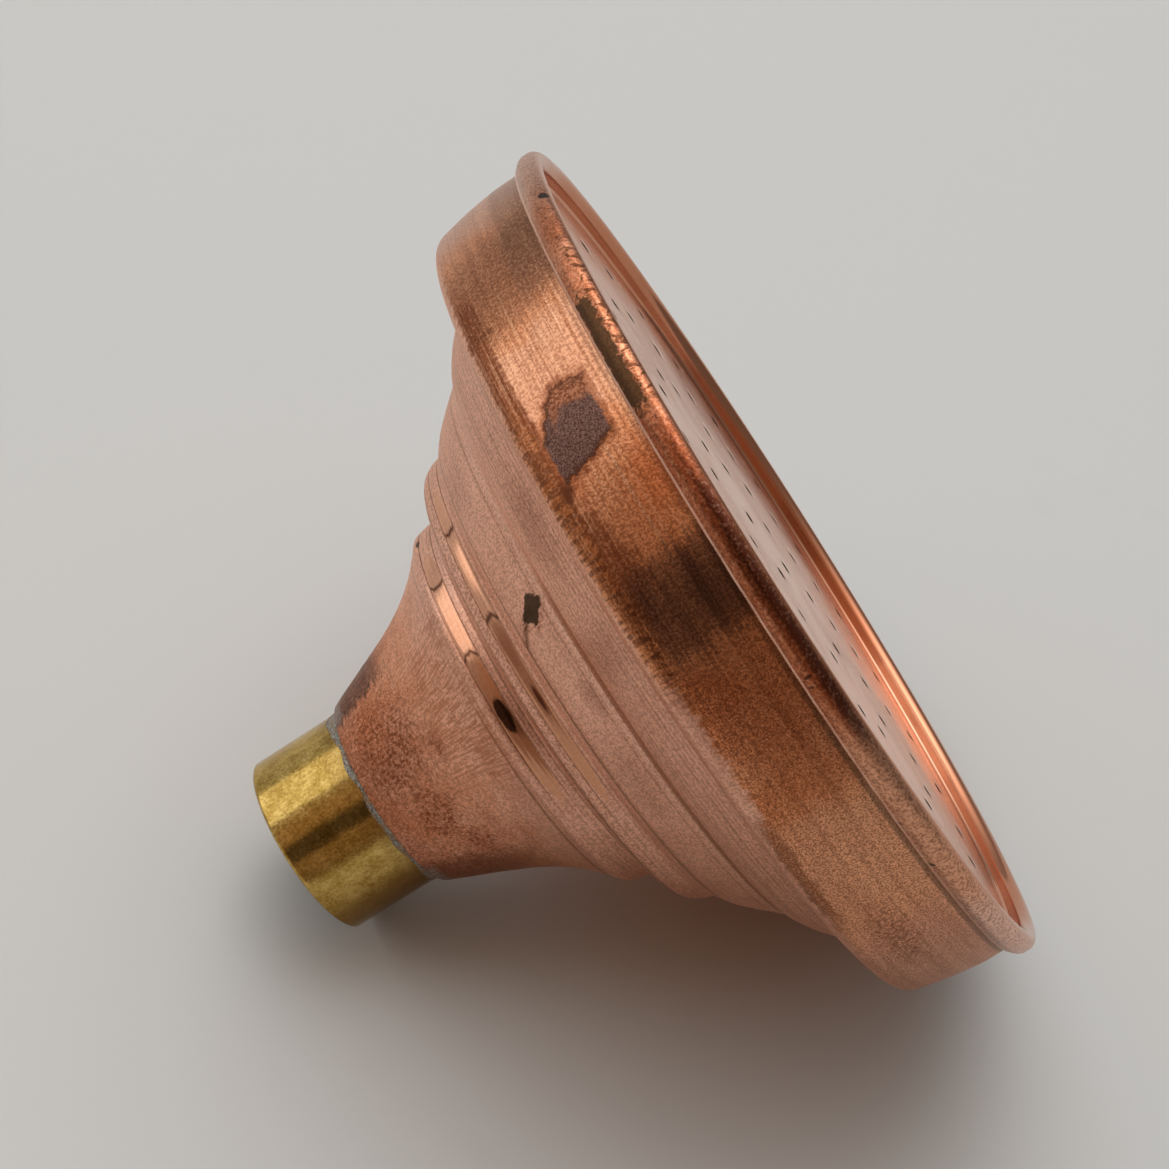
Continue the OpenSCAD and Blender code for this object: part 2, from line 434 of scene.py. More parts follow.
def solder_relief(along, angle):
    """A grainy fillet that creeps up unevenly."""
    reach = 0.5 + 0.5 * solder_creep(0 * along, angle)
    up = np.clip(1 - along / 1.7, 0, 1)
    return 0.03 + 0.05 * reach * np.clip(along / 0.5, 0, 1) * up + 0.02 * solder_grain(along, angle)


def solder_wick(along, angle):
    """The solder climbs the tube further on two sides."""
    two_sides = np.clip(-np.cos(2 * angle + 0.25), 0, 1) ** 1.5
    return (1.3 * two_sides - 0.45 + 0.22 * solder_creep(0 * along, angle)) * np.clip(1 - along / 1.6, 0, 1)


SOLDER_SIDES = 512
solder = revolve("neck_solder_looks", solder_path, SOLDER_SIDES, solder_relief, outer=len(fillet) - 1,
                 lift=solder_wick)
stands_for(solder, "neck_solder")


# -------------------- shader building

class Shader:
    """A thin layer over one node tree. A value is an output socket or a plain number."""

    def __init__(self, owner, output="ShaderNodeOutputMaterial"):
        owner.use_nodes = True
        self.owner = owner
        self.tree = owner.node_tree
        self.tree.nodes.clear()
        self.out = self.tree.nodes.new(output)

    def node(self, kind, inputs=(), **props):
        """A new node. inputs, by position or by name, are sockets to link or values to set."""
        n = self.tree.nodes.new(kind)
        for k, v in props.items():
            setattr(n, k, v)
        items = inputs.items() if isinstance(inputs, dict) else enumerate(inputs)
        for k, v in items:
            if isinstance(v, bpy.types.NodeSocket):
                self.tree.links.new(v, n.inputs[k])
            elif v is not None:
                n.inputs[k].default_value = v
        return n

    def show(self, shader):
        """Use this shader node as the surface, and return what owns the tree."""
        self.tree.links.new(shader.outputs[0], self.out.inputs[0])
        return self.owner

    def math(self, op, *values):
        return self.node("ShaderNodeMath", values, operation=op).outputs[0]

    def add(self, first, *others):
        for value in others:
            first = self.math("ADD", first, value)
        return first

    def sub(self, a, b):
        return self.math("SUBTRACT", a, b)

    def mul(self, first, *others):
        for value in others:
            first = self.math("MULTIPLY", first, value)
        return first

    def div(self, a, b):
        return self.math("DIVIDE", a, b)

    def most(self, first, *others):
        for value in others:
            first = self.math("MAXIMUM", first, value)
        return first

    def size_of(self, x):
        return self.math("ABSOLUTE", x)

    def vec(self, x, y, z):
        return self.node("ShaderNodeCombineXYZ", (x, y, z)).outputs[0]

    def vector_value(self, op, a, b):
        return self.node("ShaderNodeVectorMath", (a, tuple(b)), operation=op).outputs["Value"]

    def ramp(self, x, low, high):
        """0 at low and 1 at high, smooth between; low may be the larger."""
        return self.node("ShaderNodeMapRange", (x, low, high), interpolation_type="SMOOTHSTEP").outputs[0]

    def band(self, x, low, high, soft):
        """1 between low and high, 0 outside, with soft edges."""
        return self.mul(self.ramp(x, low - soft, low + soft), self.ramp(x, high + soft, high - soft))

    def pushed(self, x, noise, reach):
        """x shifted to and fro by a noise."""
        return self.add(x, self.mul(self.sub(noise, 0.5), reach))

    def ridge(self, x, half):
        """A bell-shaped line about x = 0."""
        x = self.div(x, half)
        return self.math("EXPONENT", self.mul(x, x, -1.0))

    def noise(self, v, scale, detail=3.0, rough=0.5, distort=0.0):
        return self.node("ShaderNodeTexNoise", {"Vector": v, "Scale": scale, "Detail": detail,
                                                "Roughness": rough, "Distortion": distort}).outputs[0]

    def cells(self, v, scale):
        return self.node("ShaderNodeTexVoronoi", {"Vector": v, "Scale": scale}).outputs["Distance"]

    def mix(self, fac, a, b):
        return self.node("ShaderNodeMix", {0: fac, 6: a, 7: b}, data_type="RGBA").outputs[2]

    def tint(self, color, tone, *amounts):
        """color drawn towards tone by the product of the amounts."""
        return self.mix(self.mul(*amounts), color, tone)

    def paint(self, tone, *amounts):
        """Draw the material's own color towards tone."""
        self.color = self.tint(self.color, tone, *amounts)

    def blend(self, fac, a, b):
        return self.node("ShaderNodeMix", {0: fac, 2: a, 3: b}, data_type="FLOAT").outputs[0]

    def bump(self, height, distance, strength):
        return self.node("ShaderNodeBump", {"Strength": strength, "Distance": distance,
                                            "Height": height}).outputs[0]

    def attribute(self, name):
        return self.node("ShaderNodeAttribute", attribute_name=name).outputs["Fac"]

    def place(self):
        """Object position in mm."""
        at = self.node("ShaderNodeTexCoord").outputs["Object"]
        return self.node("ShaderNodeVectorMath", {0: at, "Scale": 1 / MM}, operation="SCALE").outputs[0]

    def measure(self):
        """Set pos in mm, its x, y and z, the angle round the axis in degrees from -Y, and lengths in mm."""
        self.pos = self.place()
        self.x, self.y, self.z = self.node("ShaderNodeSeparateXYZ", (self.pos,)).outputs
        self.angle = self.mul(self.math("ARCTAN2", self.x, self.mul(self.y, -1.0)), 180 / math.pi)
        self.radius = self.math("SQRT", self.add(self.mul(self.x, self.x), self.mul(self.y, self.y)))
        self.along = self.attribute("along")

    def around(self, length, fine, slow):
        """A vector for noise that is drawn out round the axis and has no seam."""
        k = self.div(slow, self.radius)
        return self.vec(self.mul(length, fine), self.mul(self.x, k), self.mul(self.y, k))

    def unrolled(self, per_degree, per_mm):
        """A vector for noise on the surface as if it were unrolled flat."""
        return self.vec(self.mul(self.angle, per_degree), self.mul(self.along, per_mm), 0.0)

    def front(self):
        """1 in front, 0 at the back, so that no tone jumps where the angle goes from 180 to -180."""
        return self.ramp(self.size_of(self.pushed(self.angle, self.mottle, 24.0)), 160.0, 112.0)

    def blot(self, at_angle, at_along, half_angle, half_along, ragged, soft=0.25, edge=None):
        """An irregular patch: 1 inside, 0 outside, its edge pushed about by a noise."""
        a = self.div(self.sub(self.angle, at_angle), half_angle)
        b = self.div(self.sub(self.along, at_along), half_along)
        far = self.math("SQRT", self.add(self.mul(a, a), self.mul(b, b)))
        return self.ramp(self.pushed(far, self.ragged if edge is None else edge, ragged), 1 + soft, 1 - soft)

    def metal(self, rough, normal, edge_tint, metallic=1.0):
        return self.show(self.node("ShaderNodeBsdfPrincipled", {
            "Base Color": self.color, "Metallic": metallic, "Roughness": rough, "Normal": normal,
            "Specular Tint": edge_tint}))


def rgb(r, g, b):
    return (r, g, b, 1.0)


# -------------------- copper of the spun body
# Marks are placed by the angle round the axis, in degrees, and by the length along the outline from
# the neck's edge, in mm. From -90 to 90 degrees is the side that faces the camera.

BELL_DARK, BELL_LIGHT, BELL_PALE = rgb(0.74, 0.36, 0.235), rgb(0.97, 0.545, 0.39), rgb(0.97, 0.63, 0.49)
NECK_DARK, NECK_LIGHT = rgb(0.66, 0.245, 0.115), rgb(0.94, 0.49, 0.32)
DRUM_DARK, DRUM_LIGHT = rgb(0.68, 0.225, 0.088), rgb(0.86, 0.37, 0.18)
LINE_DARK, LINE_LIGHT = rgb(0.22, 0.075, 0.04), rgb(0.97, 0.64, 0.48)
GRAIN_DARK, GRAIN_LIGHT = rgb(0.16, 0.06, 0.035), rgb(0.92, 0.58, 0.42)
DRUM_GRAIN_DARK, DRUM_GRAIN_LIGHT = rgb(0.21, 0.065, 0.028), rgb(0.88, 0.44, 0.25)
STREAK_LIGHT, STREAK_BROWN = rgb(0.96, 0.56, 0.35), rgb(0.42, 0.13, 0.045)
BELL_ROUGH, CROWN_ROUGH = 0.36, 0.10
NECK_TOP, DRUM_START = 24.0, 66.3

# Tones by side on the drum: (angle where it starts, angle where it is full, strength, tone).
DRUM_SIDES = [
    (-22.0, -30.0, 0.7, rgb(0.81, 0.41, 0.235)),
    (-44.0, -58.0, 0.8, rgb(0.62, 0.33, 0.24)),
]
# Brown blotches on the neck: (angle, length, half angle, half length).
NECK_BLOTS = [(22, 6.1, 22, 4.9), (-18, 7.5, 12, 2.6), (8, 13.6, 6, 0.9), (-36, 10.5, 6, 1.8),
              (136, 9, 24, 6), (-120, 14, 24, 6)]
# Soft clouds on the bell: (angle, length, half angle, half length, strength).
BELL_CLOUDS = [(24, 54.5, 7, 2.6, 0.5), (-3, 46.2, 3.5, 1.4, 0.45), (-20, 44.5, 8, 2.4, 0.3),
               (2, 54.0, 4.5, 3.6, 0.42), (48, 43.0, 7, 2.2, 0.25), (142, 52, 18, 6, 0.35),
               (-110, 44, 16, 4, 0.3)]
# Painted shade in the creases between the steps, on their lower side: (length from, length to, angle below
# which it lies, strength).
CREASE_SHADE = [(48.35, 50.0, 17.0, 0.66), (23.08, 23.6, 9.0, 0.62), (40.2, 40.85, 16.0, 0.42),
               (34.0, 34.6, 12.0, 0.45)]
# Painted reflections of the window's frame, as dark arcs across the bright crowns of the beads: (angle,
# bend).
CROWN_FRAME_REFLECTIONS = [(21.8, -1.3), (44.8, 1.2)]


def body_ground(s):
    """Ground tones of the neck, the bell and the drum."""
    ragged, mottle, along = s.ragged, s.mottle, s.along
    s.neck = s.ramp(s.pushed(along, mottle, 8.0), NECK_TOP, 15.0)
    held_back = s.mul(s.band(s.pushed(s.angle, ragged, 6.0), -25.0, -4.0, 2.0), 1.3)
    s.drum = s.ramp(s.sub(s.pushed(along, s.comb, 2.4), held_back), DRUM_START, DRUM_START + 1.0)
    s.side = s.mul(s.drum, s.in_front)
    bell_color = s.mix(mottle, BELL_DARK, BELL_LIGHT)
    bell_color = s.tint(bell_color, BELL_PALE, s.ramp(s.angle, 22.0, 52.0), s.in_front, 0.45)
    neck_tone = s.add(s.mul(s.ramp(mottle, 0.34, 0.66), 0.45), s.mul(s.ramp(along, 4.0, 22.0), 0.45))
    neck_tone = s.add(neck_tone, s.mul(s.sub(ragged, 0.5), 0.7))
    neck_color = s.mix(s.math("MINIMUM", s.most(neck_tone, 0.0), 1.0), NECK_DARK, NECK_LIGHT)
    s.color = s.mix(s.neck, bell_color, neck_color)
    s.paint(s.mix(s.ramp(s.cloud, 0.38, 0.62), DRUM_DARK, DRUM_LIGHT), s.drum)


def drum_tones_and_highlight(s):
    """The drum's tone changes from side to side, is painted paler where the window's highlight falls, and
    darkens by the rolled edge.
    """
    # Painted highlight tone: paler copper from 26 to 40 degrees, where the window's highlight falls on the
    # drum.
    s.paint(rgb(0.72, 0.395, 0.255), s.drum, s.band(s.turn, 26.0, 40.0, 2.5), 0.60)
    for start, full, strength, tone in DRUM_SIDES:
        s.paint(tone, s.side, s.ramp(s.turn, start, full), strength)
    s.paint(rgb(0.40, 0.155, 0.08), s.drum, s.band(s.turn, 42.0, 60.0, 2.5), 0.58)
    s.paint(rgb(0.78, 0.50, 0.40), s.side, s.ramp(s.turn, 60.0, 70.0), 0.7)
    collar = s.mul(s.band(s.pushed(s.along, s.ragged, 2.0), 75.4, 80.0, 0.9),
                   s.band(s.turn, 44.0, 80.0, 6.0))
    s.paint(rgb(0.16, 0.095, 0.062), collar, s.drum, 0.55)


def burnt_shoulder(s):
    """The scorched corner between bell and drum, with the short strokes that cross it."""
    ragged, comb, along = s.ragged, s.comb, s.along
    s.scorch = s.mul(s.band(s.pushed(s.pushed(along, comb, 1.4), s.mottle, 1.6), 66.9, 69.4, 0.35),
                     s.band(s.turn, 12.0, 53.0, 5.0))
    uneven = s.add(0.72, s.mul(s.ramp(s.streak, 0.40, 0.60), 0.27))
    s.paint(rgb(0.17, 0.040, 0.012), s.scorch, uneven)
    wedge = s.blot(8.5, 69.0, 8.0, 3.0, 1.5, 0.4, edge=comb)
    s.paint(rgb(0.22, 0.055, 0.018), wedge, s.drum, 0.80)
    far_corner = s.mul(s.band(s.pushed(along, ragged, 3.0), 66.4, 68.3, 0.4),
                       s.band(s.turn, -44.0, -24.0, 4.0))
    s.paint(rgb(0.20, 0.065, 0.025), far_corner, 0.75)
    lower = s.blot(-51.0, 72.0, 8.0, 2.2, 2.4, 0.5)
    s.paint(rgb(0.16, 0.05, 0.025), lower, s.ramp(s.specks, 0.58, 0.44), 0.7)
    stroke_zone = s.mul(s.band(s.pushed(along, ragged, 1.6), 66.3, 68.9, 0.3),
                        s.band(s.angle, -6.0, 30.0, 5.0))
    s.paint(rgb(0.72, 0.25, 0.08), stroke_zone, 0.5)
    strokes = s.ramp(s.noise(s.unrolled(1.7, 0.30), 1.0, 1.0, 0.5, 0.4), 0.52, 0.42)
    s.paint(rgb(0.13, 0.035, 0.014), strokes, stroke_zone, 0.75)
    crack = s.mul(s.ridge(s.sub(s.pushed(s.angle, ragged, 3.0), 43.8), 0.6), s.band(along, 67.8, 70.6, 0.5))
    s.paint(rgb(0.12, 0.035, 0.012), crack, 0.7)


def neck_marks(s):
    """Heat tint round the solder, soot on one side of the neck, brown painted shade on its lower side, and a
    smear of tin.
    """
    ragged, angle, along = s.ragged, s.angle, s.along
    s.paint(rgb(0.38, 0.12, 0.06), s.ramp(s.pushed(along, ragged, 5.0), 6.0, 0.2), 0.45)
    jagged = s.noise(s.vec(s.mul(along, 1.3), 0.0, 0.0), 1.0, 2.0)
    soot = s.mul(s.ramp(s.pushed(angle, jagged, 22.0), 49.0, 54.0),
                 s.ramp(s.pushed(along, ragged, 6.0), 12.0, 7.0),
                 s.ramp(s.pushed(angle, ragged, 20.0), 128.0, 112.0))
    uneven = s.add(0.72, s.mul(s.ramp(s.specks, 0.58, 0.42), 0.24))
    s.paint(rgb(0.070, 0.032, 0.030), soot, uneven)
    # Painted shade: the neck browner on its lower side, below about -46 degrees, near the solder.
    lower_side_shade = s.mul(s.ramp(s.pushed(angle, ragged, 22.0), -40.0, -52.0),
                  s.ramp(s.pushed(along, ragged, 9.0), 20.0, 8.0),
                  s.ramp(s.pushed(angle, ragged, 20.0), -150.0, -130.0))
    s.paint(rgb(0.20, 0.062, 0.028), lower_side_shade, 0.68)
    tinned = s.mul(s.most(s.band(angle, 54.0, 84.0, 6.0), s.band(angle, -88.0, -50.0, 6.0)),
                   s.ramp(s.pushed(along, ragged, 3.0), 1.9, 0.9))
    s.paint(rgb(0.36, 0.355, 0.335), tinned, 0.75)
    speckled = s.add(0.40, s.mul(s.ramp(s.specks, 0.56, 0.40), 0.45))
    for spot in NECK_BLOTS:
        s.paint(rgb(0.33, 0.085, 0.03), s.blot(*spot, 1.6, 0.5), speckled)


def bell_marks(s):
    """Soft brown clouds on the bell, and painted shade in its creases."""
    for *spot, strength in BELL_CLOUDS:
        s.paint(rgb(0.36, 0.15, 0.08), s.blot(*spot, 1.8, 0.7), strength)
    for low, high, below, strength in CREASE_SHADE:
        # Painted shade: each crease darker below its angle, on the side that faces the camera.
        darkened = s.mul(s.band(s.along, low, high, 0.2),
                     s.ramp(s.pushed(s.angle, s.ragged, 6.0), below + 7, below - 7))
        s.paint(rgb(0.30, 0.095, 0.035), darkened, s.in_front, strength)


def spun_lines(s):
    """Tone lines round the bell, and the streaks that follow them."""
    for at, half, depth in TOOL_LINES:
        line = s.ridge(s.sub(s.along, at), half)
        if depth > 0.5:
            softer = s.mul(s.ramp(s.pushed(s.angle, s.ragged, 8.0), -10.0, -34.0), s.in_front)
            line = s.mul(line, s.sub(1.0, s.mul(softer, 0.75)))
        broken = s.add(0.55, s.mul(s.streak_wide, 0.9))
        shade = LINE_DARK if depth > 0 else LINE_LIGHT
        s.paint(shade, line, broken, min(1.0, 1.6 * abs(depth)))
    bell_lines = s.add(0.10, s.mul(s.ramp(s.along, 50.0, 51.0), 0.12))
    s.paint(LINE_DARK, s.ramp(s.streak_wide, 0.46, 0.66), bell_lines)
    lined = s.mul(s.drum, s.band(s.turn, 4.0, 44.0, 8.0), s.ramp(s.cloud, 0.36, 0.56))
    lined = s.add(s.mul(lined, 0.9), s.mul(s.drum, 0.22))
    s.paint(LINE_DARK, s.ramp(s.streak, 0.50, 0.66), s.add(bell_lines, s.mul(lined, 0.22)))
    s.paint(STREAK_LIGHT, s.ramp(s.streak, 0.50, 0.34), lined, 0.45)
    s.paint(STREAK_BROWN, s.ramp(s.streak_wide, 0.52, 0.64), lined, 0.35)


def bead_crowns(s):
    """The beads' crowns are rubbed to cleaner copper; painted reflections lie on them: a brown taper, dark
    arcs of the window's frame, dark spots where whoever holds the camera shows, and a darker patch beside
    them.
    """
    angle, along = s.angle, s.along
    worn = s.pushed(angle, s.ragged, 5.0)
    reach = s.add(s.band(worn, -22.0, 58.0, 7.0),
                  s.add(s.band(worn, 100.0, 165.0, 30.0), s.band(worn, -165.0, -95.0, 30.0)))
    s.crown = 0.0
    for at, half, *_ in CROWNS:
        off = s.size_of(s.sub(along, at))
        s.crown = s.add(s.crown, s.mul(s.ramp(s.sub(off, s.mul(reach, half)), 0.07, -0.07),
                                       s.ramp(reach, 0.1, 0.4)))
    s.paint(rgb(0.80, 0.38, 0.21), s.crown, 0.62)
    # Painted reflection: the crowns browner and darker from -34 to 20 degrees.
    s.paint(rgb(0.46, 0.19, 0.09), s.crown, s.band(angle, -34.0, 20.0, 2.0), 0.45)
    # Painted reflections of the window's frame: dark arcs across the crowns.
    for at, half, *_ in CROWNS:
        x = s.div(s.sub(along, at), half)
        for at_angle, bend in CROWN_FRAME_REFLECTIONS:
            bent = s.add(at_angle, s.mul(x, x, bend))
            bent = s.pushed(bent, s.noise(s.vec(s.mul(along, 1.6), 0.0, at_angle), 1.0, 2.0), 2.6)
            frame_reflection = s.mul(s.ridge(s.sub(angle, bent), 0.75), s.ramp(s.size_of(x), 1.15, 0.95))
            s.paint(rgb(0.09, 0.026, 0.014), frame_reflection, 0.9)
    # Painted reflections: a dark oval on each bead where whoever holds the camera shows, and a darker patch
    # beside it on the large bead.
    s.paint(rgb(0.028, 0.011, 0.007), s.blot(2.8, 27.06, 5.2, 0.78, 0.5, 0.14), 0.95)
    s.paint(rgb(0.10, 0.016, 0.010), s.blot(1.6, 37.22, 3.2, 0.30, 0.8, 0.4), 0.85)
    s.paint(rgb(0.42, 0.125, 0.065), s.blot(14.5, 37.15, 5.5, 0.75, 1.4, 0.5), 0.55)


def body_grain(s):
    """Dense fine speckle over everything, coarser and darker on the drum."""
    s.gritty = s.band(s.along, 34.4, 36.2, 0.3)
    s.low_drum = s.mul(s.side, s.ramp(s.turn, 2.0, -10.0))
    s.grit = s.blend(s.low_drum, s.grain, s.noise(s.pos, 4.6, 2.0, 0.7))
    rub = s.add(0.36, s.mul(s.drum, 0.12), s.mul(s.gritty, 0.12), s.mul(s.low_drum, 0.24))
    rub = s.mul(rub, s.sub(1.0, s.mul(s.crown, 0.8)))
    s.paint(s.mix(s.drum, GRAIN_DARK, DRUM_GRAIN_DARK), s.ramp(s.grit, 0.56, 0.40), rub)
    s.paint(s.mix(s.drum, GRAIN_LIGHT, DRUM_GRAIN_LIGHT), s.ramp(s.grit, 0.50, 0.66), rub, 0.50)
    freckled = s.mul(s.drum, s.add(s.band(s.turn, -24.0, -3.0, 4.0), s.band(s.turn, 44.0, 62.0, 4.0)))
    freckled = s.add(0.08, s.mul(freckled, 0.34), s.mul(s.neck, s.ramp(s.along, 16.0, 9.0), 0.34))
    s.paint(rgb(0.13, 0.04, 0.02), s.ramp(s.specks, 0.50, 0.40), freckled)
    chatter = s.mul(s.band(s.along, 13.0, 25.0, 3.0), s.band(s.angle, -14.0, 44.0, 8.0), 0.62)
    s.paint(rgb(0.42, 0.15, 0.07), s.ramp(s.axial, 0.44, 0.60), chatter)


def dark_stain_and_reflection(s):
    """The drum's dark patch, stained copper with a painted reflection of whoever holds the camera over it,
    and a faint darker band beside it.
    """
    # Painted reflection of whoever holds the camera, over a real stain: a dark band from -3 to 8 degrees,
    # darkest in its core.
    stain_and_reflection = s.band(s.pushed(s.pushed(s.angle, s.streak, 9.0), s.comb, 2.0), -3.2, 7.8, 0.9)
    stain_and_reflection = s.mul(stain_and_reflection, s.ramp(s.pushed(s.along, s.comb, 2.0), 68.6, 70.6))
    core = s.blot(2.8, 77.4, 6.0, 2.2, 1.8, 0.7, edge=s.streak)
    strength = s.add(0.40, s.mul(s.ramp(s.streak_wide, 0.40, 0.60), 0.18), s.mul(core, 0.25))
    s.paint(rgb(0.105, 0.050, 0.042), stain_and_reflection, strength)
    # A faint darker band beside it, from -25 to -2 degrees.
    faint_band = s.band(s.pushed(s.pushed(s.angle, s.streak, 8.0), s.mottle, 8.0), -25.0, -2.0, 3.0)
    s.paint(rgb(0.24, 0.07, 0.025), faint_band, s.drum, s.ramp(s.along, 68.5, 73.0), 0.20)


def oxide_patch(s):
    """A lozenge of dark oxide on the drum, with a scratched brown border and a tail to the corner."""
    ragged, along = s.ragged, s.along
    low = s.add(19.9, s.mul(s.sub(along, 69.3), 0.36))
    high = s.math("MINIMUM", s.add(25.6, s.mul(s.sub(along, 69.3), 1.45)),
                  s.sub(31.0, s.mul(s.sub(along, 73.0), 0.18)))
    edge = s.pushed(s.angle, ragged, 4.2)
    above, below = s.sub(edge, low), s.sub(high, edge)
    length = s.pushed(along, ragged, 1.6)
    s.oxide = s.mul(s.ramp(above, -0.3, 0.3), s.ramp(below, -0.3, 0.3), s.band(length, 69.5, 77.2, 0.2))
    border = s.mul(s.ramp(above, -1.6, -0.6), s.ramp(below, -1.6, -0.6), s.band(length, 69.0, 77.9, 0.3))
    s.paint(rgb(0.24, 0.065, 0.025), border, 0.62)

    dark = s.mix(s.ramp(s.noise(s.pos, 5.0, 2.0, 0.6), 0.36, 0.64), rgb(0.055, 0.028, 0.024),
                 rgb(0.215, 0.125, 0.105))
    hatch = s.noise(s.unrolled(2.8, 2.2), 1.0, 3.0, 0.65, 0.5)
    hatched = s.mix(s.ramp(hatch, 0.42, 0.60), rgb(0.17, 0.052, 0.026), rgb(0.44, 0.19, 0.105))
    upper = s.mul(s.ramp(s.sub(high, s.pushed(s.angle, ragged, 3.36)), 3.2, 2.2), s.ramp(along, 71.0, 72.5))
    s.paint(s.mix(upper, dark, hatched), s.oxide, 0.93)

    outline = s.most(s.mul(s.ridge(above, 0.45), s.ramp(below, -0.6, 0.2)),
                     s.mul(s.ridge(below, 0.40), s.ramp(above, -0.6, 0.2)))
    s.paint(rgb(0.075, 0.024, 0.012), outline, s.band(length, 69.3, 77.5, 0.3), 0.75)
    s.paint(rgb(0.13, 0.042, 0.02), s.blot(19.2, 69.0, 1.3, 0.8, 1.5, 0.5), 0.75)


def scratches(s):
    """The scratch on the bell with its reddish fringe and thin tail, and a nick on the small bead."""
    ragged, angle, along = s.ragged, s.angle, s.along
    slits = s.noise(s.unrolled(2.6, 0.7), 1.0, 2.0, 0.6)
    u, v = s.div(s.sub(angle, 15.5), 2.6), s.div(s.sub(along, 45.0), 2.3)
    far = s.most(s.div(s.size_of(s.sub(v, u)), 0.92), s.div(s.size_of(s.add(v, u)), 1.28))
    far = s.pushed(s.pushed(far, s.noise(s.pos, 1.6, 4.0, 0.7), 0.55), slits, 0.6)
    s.scratch = s.ramp(far, 1.10, 0.96)
    s.paint(rgb(0.30, 0.075, 0.03), s.ramp(far, 1.75, 1.20), s.ramp(angle, 16.5, 14.5),
            s.ramp(slits, 0.60, 0.42), 0.65)
    bend = s.mul(s.math("POWER", s.most(s.sub(44.2, along), 0.0), 1.6), 0.58)
    tail = s.sub(s.pushed(angle, ragged, 1.2), s.sub(15.6, bend))
    thick = s.add(1.1, s.mul(s.ramp(along, 40.4, 43.6), -0.2))
    tail = s.mul(s.ridge(tail, thick), s.band(along, 40.3, 45.0, 0.4))
    s.paint(rgb(0.14, 0.040, 0.018), tail, s.add(0.45, s.mul(s.ramp(slits, 0.62, 0.44), 0.45)))
    s.paint(rgb(0.065, 0.040, 0.022), s.scratch, 0.93)
    s.paint(rgb(0.06, 0.03, 0.02), s.blot(71.0, 26.0, 2.4, 0.35, 0.6, 0.3))


def rim_dirt(s):
    """Dirt gathered where the drum meets the rolled edge."""
    darkened = s.ramp(s.pushed(s.along, s.ragged, 0.5), 79.05, 79.45)
    strength = s.add(0.25, s.mul(s.ramp(s.angle, 0.0, -16.0), s.in_front, 0.35))
    s.paint(rgb(0.08, 0.045, 0.03), darkened, strength)


def body_copper():
    s = Shader(bpy.data.materials.new("copper_spun"))
    s.measure()
    s.grain = s.noise(s.pos, 3.1, 2.0, 0.55)
    s.specks = s.noise(s.pos, 2.1, 3.0, 0.6)
    s.mottle = s.noise(s.pos, 0.17, 4.0, 0.62)
    s.cloud = s.noise(s.pos, 0.06, 2.0, 0.5)
    s.ragged = s.noise(s.pos, 0.75, 5.0, 0.72)
    s.streak = s.noise(s.around(s.along, 3.4, 2.6), 1.0, 3.0, 0.6)
    s.streak_wide = s.noise(s.around(s.along, 0.9, 1.6), 1.0, 3.0, 0.6)
    s.axial = s.noise(s.unrolled(1.25, 0.32), 1.0, 1.0, 0.5, 0.5)
    s.comb = s.noise(s.unrolled(0.95, 0.34), 1.0, 2.0, 0.55, 0.6)
    s.turn = s.pushed(s.angle, s.mottle, 12.0)
    s.in_front = s.front()

    for layer in (body_ground, drum_tones_and_highlight, burnt_shoulder, neck_marks, bell_marks, spun_lines,
                  bead_crowns, body_grain, dark_stain_and_reflection, oxide_patch, scratches, rim_dirt):
        layer(s)

    matt_side = s.mul(s.ramp(s.turn, -14.0, -34.0), s.in_front, 0.14)
    rough = s.add(BELL_ROUGH, s.mul(s.grain, 0.14))
    rough = s.sub(rough, s.mul(s.drum, s.sub(0.17, matt_side)))
    rough = s.blend(s.crown, rough, s.add(CROWN_ROUGH, s.mul(s.streak, 0.16)))
    rough = s.add(rough, s.mul(s.most(s.oxide, s.scratch, s.mul(s.scorch, 0.8)), 0.22))

    height = s.mul(s.grain, s.add(0.55, s.mul(s.drum, 0.6), s.mul(s.gritty, 0.3)))
    height = s.add(height, s.mul(s.specks, s.drum, 0.45), s.mul(s.grit, s.low_drum, 0.9),
                   s.mul(s.streak, s.add(0.5, s.mul(s.drum, 0.5))))
    height = s.mul(height, s.sub(1.0, s.mul(s.crown, 0.88)))
    height = s.add(height, s.mul(s.axial, s.ramp(s.along, 26.0, 20.0), 1.5), s.mul(s.oxide, 0.8))
    return s.metal(rough, s.bump(height, 0.030 * MM, 0.8), rgb(1.0, 0.86, 0.78))


# -------------------- copper of the face plate
# On the rolled edge the length runs from the wall inside (0) over the roll to its raw edge behind.

RAW_EDGE = 8.25

# Nicks and specks on the roll: (angle, length, half angle, half length, strength).
ROLL_NICKS = [(58.2, 5.25, 0.8, 0.75, 1.0), (-11.4, 7.2, 0.20, 0.55, 0.8), (-12.6, 7.5, 0.16, 0.40, 0.7),
              (-32.3, 8.3, 0.3, 0.35, 0.9), (-40.0, 8.1, 0.3, 0.6, 0.9)]


